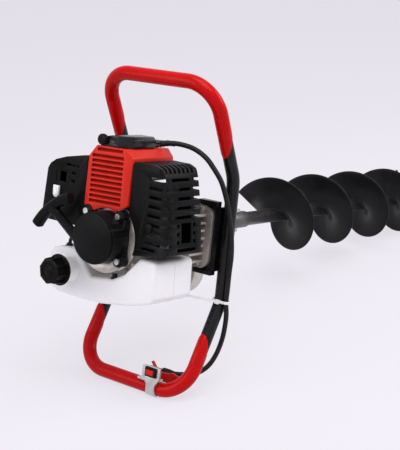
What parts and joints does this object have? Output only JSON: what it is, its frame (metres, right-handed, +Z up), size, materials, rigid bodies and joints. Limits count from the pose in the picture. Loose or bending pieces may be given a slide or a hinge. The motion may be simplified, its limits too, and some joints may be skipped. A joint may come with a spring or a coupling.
{
  "type": "earth auger",
  "caption": "Petrol earth auger lying on its side: two-stroke engine with recoil starter, centrifugal clutch and spur gearbox in a looped red-gripped handle frame, driving a spiral bit.",
  "frame": {"origin": "point on the floor under the middle of the lower handle bar, as the machine lies at rest", "axes": "+X along the floor towards the point of the bit, +Y towards the air filter, +Z up; the crank axis dips towards +X by the rest tilt"},
  "size_m": [1.1709, 0.2949, 0.5315],
  "materials": {
    "frame_paint": "satin black powder coat",
    "grip_coat": "glossy red dipped vinyl",
    "red_plastic": "orange-red moulded plastic, semi-gloss",
    "red_control": "red moulded plastic",
    "black_plastic": "black moulded nylon, fine grain",
    "white_plastic": "natural white polyethylene",
    "cast_aluminium": "die-cast, unpainted",
    "gearbox_paint": "die-cast, bare",
    "bit_paint": "satin black enamel",
    "bit_steel": "grey steel, partly enamelled black",
    "plain_steel": "ground steel",
    "zinc_steel": "zinc plated",
    "muffler_steel": "heat-tinted sheet",
    "rubber": "black rubber and PVC sleeve",
    "foam": "open-cell foam",
    "rope": "braided nylon cord"
  },
  "bodies": {
    "powerhead": {"upper_frame": "frame_paint", "lower_frame": "frame_paint", "upper_grip": "grip_coat", "lower_grip": "grip_coat", "mount_plate": "frame_paint", "plate_bolts": "zinc_steel", "clutch_housing": "cast_aluminium", "gearbox_housing": "gearbox_paint", "gearbox_cover": "gearbox_paint", "gearbox_screws": "zinc_steel", "ball_bearings": "plain_steel", "output_seal": "rubber", "crankcase": "cast_aluminium", "crankshaft": "plain_steel", "connecting_rod": "plain_steel", "piston": "cast_aluminium", "piston_pin": "plain_steel", "finned_cylinder": "cast_aluminium", "spark_plug": "zinc_steel", "plug_cap": "rubber", "flywheel": "cast_aluminium", "ignition_coil": "black_plastic", "clutch_shoes": "plain_steel", "cylinder_shroud": "red_plastic", "top_cover": "black_plastic", "cover_knob": "black_plastic", "muffler": "muffler_steel", "muffler_guard": "black_plastic", "intake_block": "black_plastic", "carburettor": "cast_aluminium", "filter_base": "black_plastic", "filter_foam": "foam", "filter_cover": "black_plastic", "fuel_tank": "white_plastic", "fuel_hose": "rubber", "starter_cover": "black_plastic", "starter_screws": "zinc_steel", "recoil_spring": "plain_steel", "throttle_cable": "rubber", "cable_tie": "white_plastic", "switch_clamp": "zinc_steel", "switch_frame": "black_plastic"},
    "auger": {"output_shaft": "plain_steel", "output_gear": "plain_steel", "auger_shaft": "bit_steel", "auger_flight": "bit_paint", "cutting_blade": "bit_paint", "blade_bolts": "zinc_steel", "pilot_point": "bit_steel", "coupling_pin": "zinc_steel"},
    "layshaft_body": {"layshaft": "plain_steel"},
    "input_shaft": {"clutch_drum": "plain_steel"},
    "pull_grip": {"pull_handle": "black_plastic"},
    "pulley": {"starter_pulley": "black_plastic", "starter_rope": "rope"},
    "throttle_grip": {"throttle_lever": "red_control"},
    "carb_throttle": {"throttle_drum": "cast_aluminium"},
    "stop_key": {"stop_button": "red_control"},
    "choke": {"choke_lever": "white_plastic"},
    "tank_cap": {"fuel_cap": "black_plastic"}
  },
  "joints": [
    {"name": "auger_spin", "type": "hinge", "parent": "powerhead", "child": "auger", "pos_m": [0.13085, 0, 0.2494], "axis": [0.9784, 0, -0.2068], "continuous": true},
    {"name": "layshaft_spin", "type": "hinge", "parent": "powerhead", "child": "layshaft_body", "pos_m": [0.15042, 0.045, 0.24526], "axis": [0.9784, 0, -0.2068], "continuous": true},
    {"name": "input_spin", "type": "hinge", "parent": "powerhead", "child": "input_shaft", "pos_m": [0.1015, 0, 0.2556], "axis": [0.9784, 0, -0.2068], "continuous": true},
    {"name": "starter_pull", "type": "slide", "parent": "powerhead", "child": "pull_grip", "axis": [0.1156, 0.829, 0.5471], "range_m": [0, 0.7]},
    {"name": "pulley_spin", "type": "hinge", "parent": "powerhead", "child": "pulley", "pos_m": [-0.05797, 0, 0.28931], "axis": [0.9784, 0, -0.2068], "range_deg": [0, 1432.39]},
    {"name": "throttle_squeeze", "type": "hinge", "parent": "powerhead", "child": "throttle_grip", "pos_m": [0.02468, -0.035, 0.02753], "axis": [-0.2068, 0, -0.9784], "range_deg": [0, 9], "stiffness_Nm_per_rad": 1.2},
    {"name": "carb_throttle_turn", "type": "hinge", "parent": "powerhead", "child": "carb_throttle", "pos_m": [0.02958, 0.068, 0.35053], "axis": [-0.2068, 0, -0.9784], "range_deg": [0, 45]},
    {"name": "stop_press", "type": "slide", "parent": "powerhead", "child": "stop_key", "axis": [0.9784, 0, -0.2068], "range_m": [0, 0.003], "stiffness_N_per_m": 400},
    {"name": "choke_turn", "type": "hinge", "parent": "powerhead", "child": "choke", "pos_m": [-0.02318, 0.121, 0.33306], "axis": [0.9784, 0, -0.2068], "range_deg": [0, 60]},
    {"name": "fuel_cap_lift", "type": "slide", "parent": "powerhead", "child": "tank_cap", "axis": [-0.9784, 0, 0.2068], "range_m": [0, 0.06]}
  ],
  "couplings": [
    {"joint": "layshaft_spin", "follows": "auger_spin", "ratio": -5.5455},
    {"joint": "input_spin", "follows": "auger_spin", "ratio": 30.752},
    {"joint": "pulley_spin", "follows": "starter_pull", "rad_per_m": 35.714},
    {"joint": "carb_throttle_turn", "follows": "throttle_squeeze", "ratio": 5}
  ]
}
